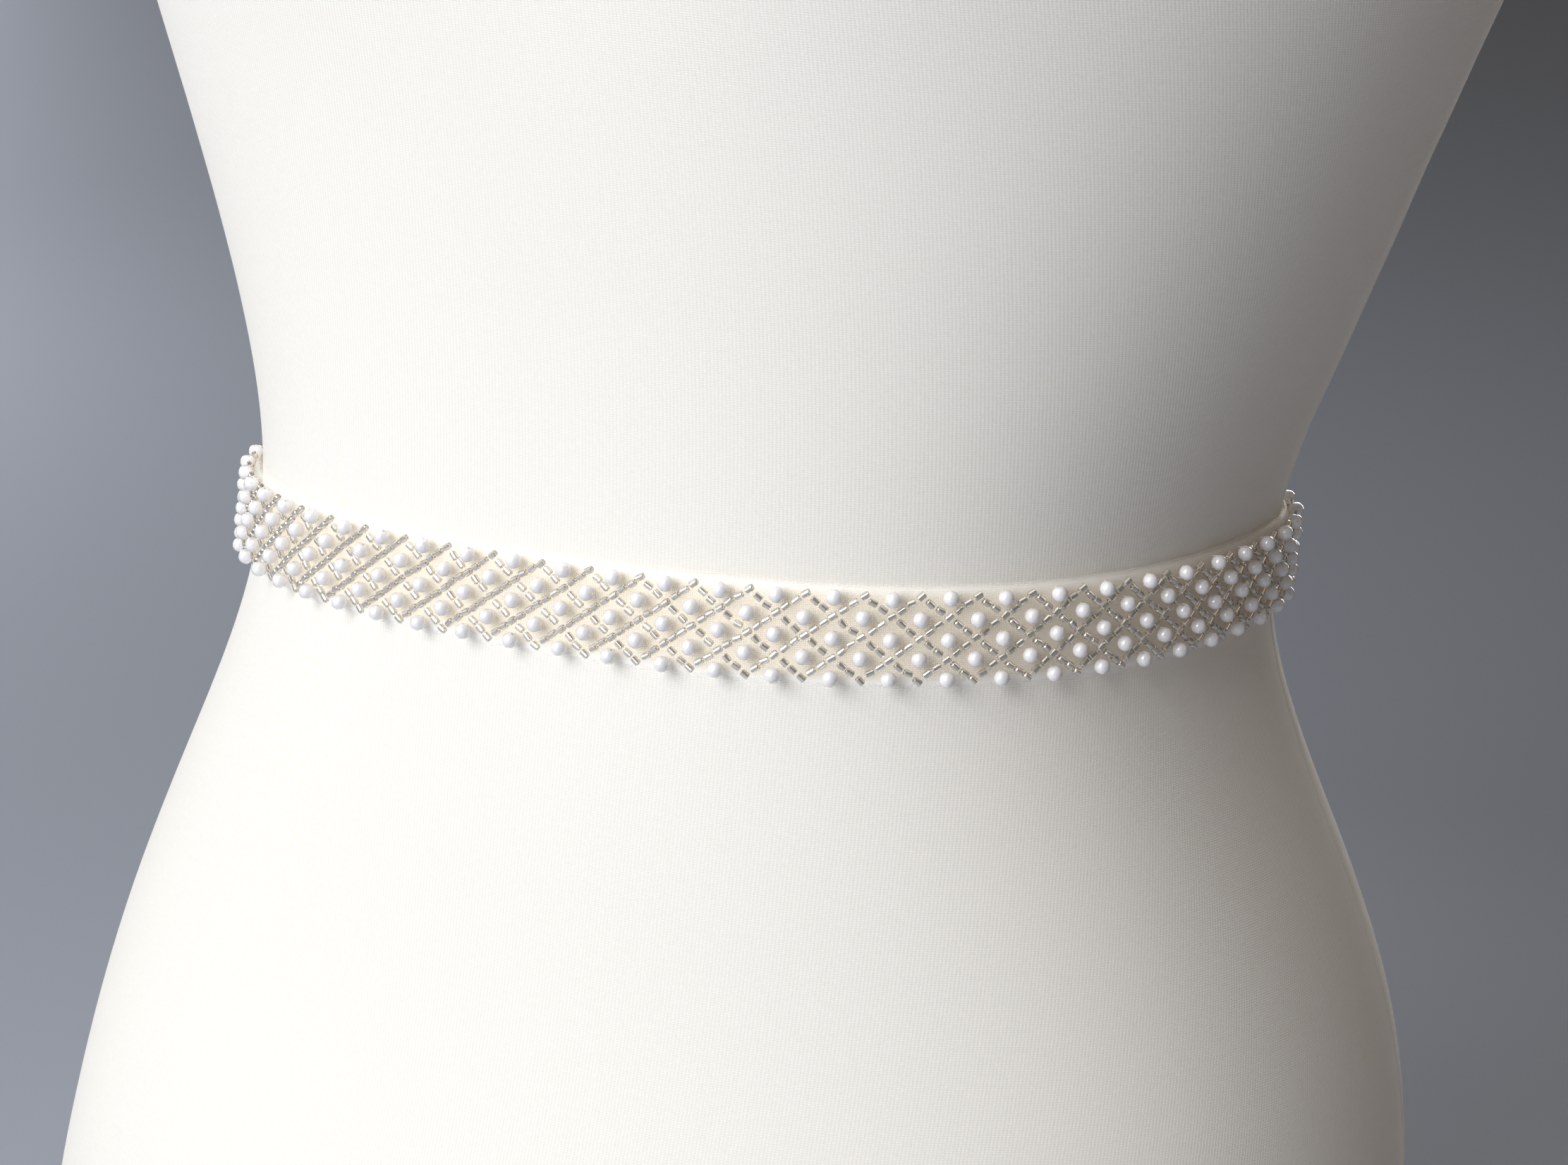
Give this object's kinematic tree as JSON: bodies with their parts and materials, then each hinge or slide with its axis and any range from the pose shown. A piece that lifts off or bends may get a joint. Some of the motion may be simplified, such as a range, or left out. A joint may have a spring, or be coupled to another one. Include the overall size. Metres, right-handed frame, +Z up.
{
  "type": "beaded bridal sash on dress form",
  "caption": "Narrow sheer bridal sash with pearls in a lattice of glass tube beads, hooked round the waist of a smooth limbless dress form that stands on its flat foot.",
  "frame": {"origin": "on the surface that the form stands on, under the middle of the whole object", "axes": "+Z up, the form's front faces -Y, its left side is +X"},
  "size_m": [0.3356, 0.2514, 0.68],
  "materials": {
    "form_cover": "plain woven ivory cover, matt",
    "beaded_ribbon": "sheer off-white organza with glossy white pearls and silver-lined clear glass tubes",
    "nickel_wire": "polished nickel-plated wire"
  },
  "bodies": {
    "root": {"form_torso": "form_cover", "sash_ribbon": "beaded_ribbon", "hook_upper": "nickel_wire", "hook_lower": "nickel_wire", "eye_upper": "nickel_wire", "eye_lower": "nickel_wire"}
  },
  "joints": []
}
